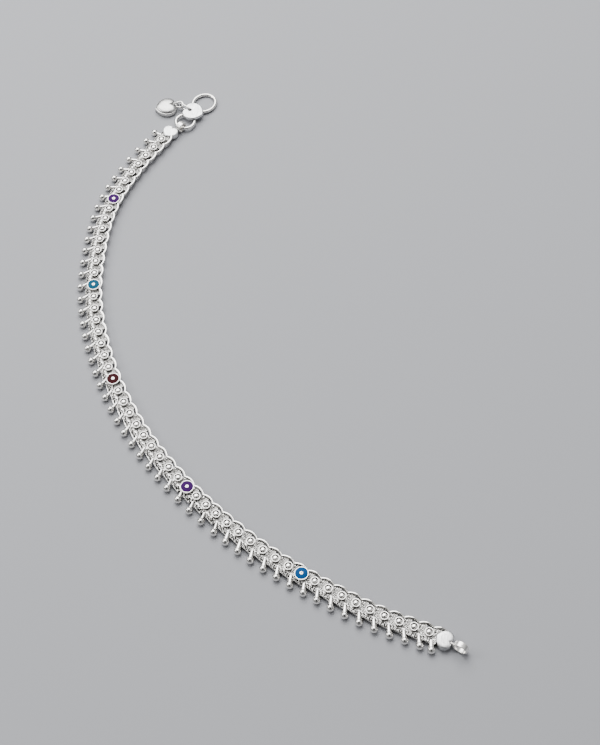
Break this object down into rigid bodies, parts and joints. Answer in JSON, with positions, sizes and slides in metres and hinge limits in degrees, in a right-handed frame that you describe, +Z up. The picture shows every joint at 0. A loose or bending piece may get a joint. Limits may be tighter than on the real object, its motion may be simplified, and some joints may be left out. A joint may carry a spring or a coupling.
{
  "type": "payal anklet",
  "caption": "Silver payal anklet lying open: scalloped bezel-cup links with enamelled cups, a fringe of small bells, heart end caps, and an S-hook with a heart charm.",
  "frame": {"origin": "middle of the open anklet's box, on the surface that it lies on", "axes": "+Y along the open chain towards the hook end, +X towards the open side of the curve, +Z up from the surface"},
  "size_m": [0.1202, 0.2112, 0.0044],
  "materials": {
    "polished_silver": "polished silver",
    "satin_silver": "satin silver",
    "purple_enamel": "glossy purple enamel",
    "teal_enamel": "glossy teal blue enamel",
    "maroon_enamel": "glossy dark maroon enamel",
    "blue_enamel": "glossy blue enamel"
  },
  "bodies": {
    "root": {"chain_upper": "polished_silver", "chain_lower": "polished_silver", "enamel_1": "purple_enamel", "enamel_2": "teal_enamel", "enamel_3": "maroon_enamel", "enamel_4": "purple_enamel", "enamel_5": "blue_enamel", "head_cap": "satin_silver", "tail_cap": "satin_silver", "s_hook": "polished_silver", "plate_link": "polished_silver", "charm_link": "polished_silver", "charm_heart": "satin_silver"}
  },
  "joints": []
}
